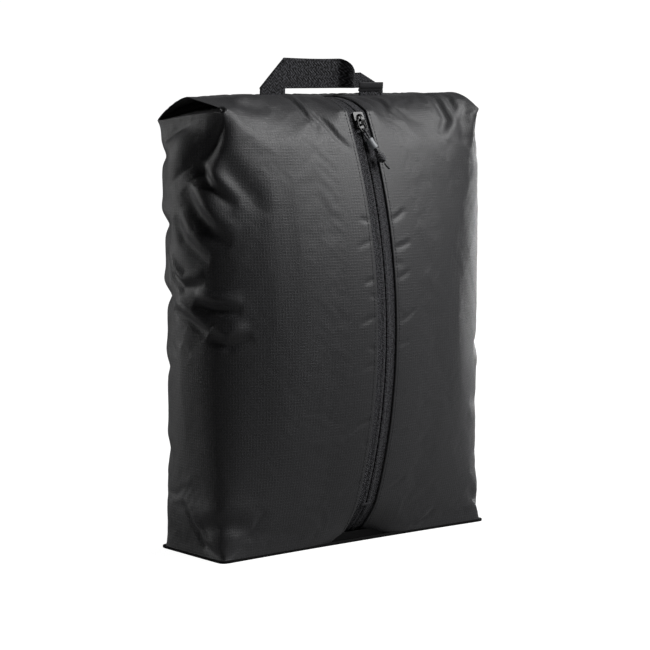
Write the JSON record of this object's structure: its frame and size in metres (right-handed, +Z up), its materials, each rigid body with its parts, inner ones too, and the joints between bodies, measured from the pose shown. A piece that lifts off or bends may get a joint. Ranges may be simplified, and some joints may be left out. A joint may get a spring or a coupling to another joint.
{
  "type": "shoe bag",
  "caption": "Tall soft shoe bag in thin ripstop cloth with a full-height front zip, a boxed base and a webbing handle sewn along the top seam.",
  "frame": {"origin": "the middle of the base, on its underside", "axes": "+Z up, +X to the right as the zip faces the reader, the zip on the -Y side"},
  "size_m": [0.27, 0.1366, 0.3906],
  "materials": {
    "ripstop": "thin coated black ripstop nylon with a soft sheen",
    "binding_tape": "matt black polyester binding tape",
    "zip_tape": "matt black woven polyester tape",
    "zip_teeth": "black nylon coil",
    "thread": "black polyester thread",
    "slider_metal": "gloss black enamelled zinc",
    "pull_cord": "braided black cord",
    "sleeve": "satin grey sleeve",
    "webbing": "black twill webbing",
    "label_tape": "smooth grey satin tape, blank"
  },
  "bodies": {
    "bag": {"body_wrap": "ripstop", "base_panel": "ripstop", "base_seam_binding": "binding_tape", "ridge_seam_binding": "binding_tape", "zip_tape_left": "zip_tape", "zip_tape_right": "zip_tape", "zip_coil_left": "zip_teeth", "zip_coil_right": "zip_teeth", "zip_bottom_stop": "thread", "handle_end_left": "webbing", "handle_end_right": "webbing", "handle_bartack_left": "thread", "handle_bartack_right": "thread"},
    "slider": {"slider_body": "slider_metal", "slider_bridge": "slider_metal"},
    "puller": {"pull_ring": "slider_metal", "pull_cord": "pull_cord", "pull_sleeve": "sleeve", "pull_knot": "pull_cord", "pull_cord_tail": "pull_cord"},
    "handle": {"handle_webbing": "webbing", "label_tab": "label_tape"}
  },
  "joints": [
    {"name": "zip_travel", "type": "hinge", "parent": "bag", "child": "slider", "pos_m": [0, 0.33186, 0.174], "axis": [1, 0, 0], "range_deg": [0, 42.4]},
    {"name": "pull_swing", "type": "hinge", "parent": "slider", "child": "puller", "pos_m": [0, -0.04406, 0.34127], "axis": [-1, 0, 0], "range_deg": [0, 150]},
    {"name": "handle_flop", "type": "hinge", "parent": "bag", "child": "handle", "pos_m": [0, 0, 0.3612], "axis": [1, 0, 0], "range_deg": [-65, 65], "stiffness_Nm_per_rad": 0.01}
  ]
}
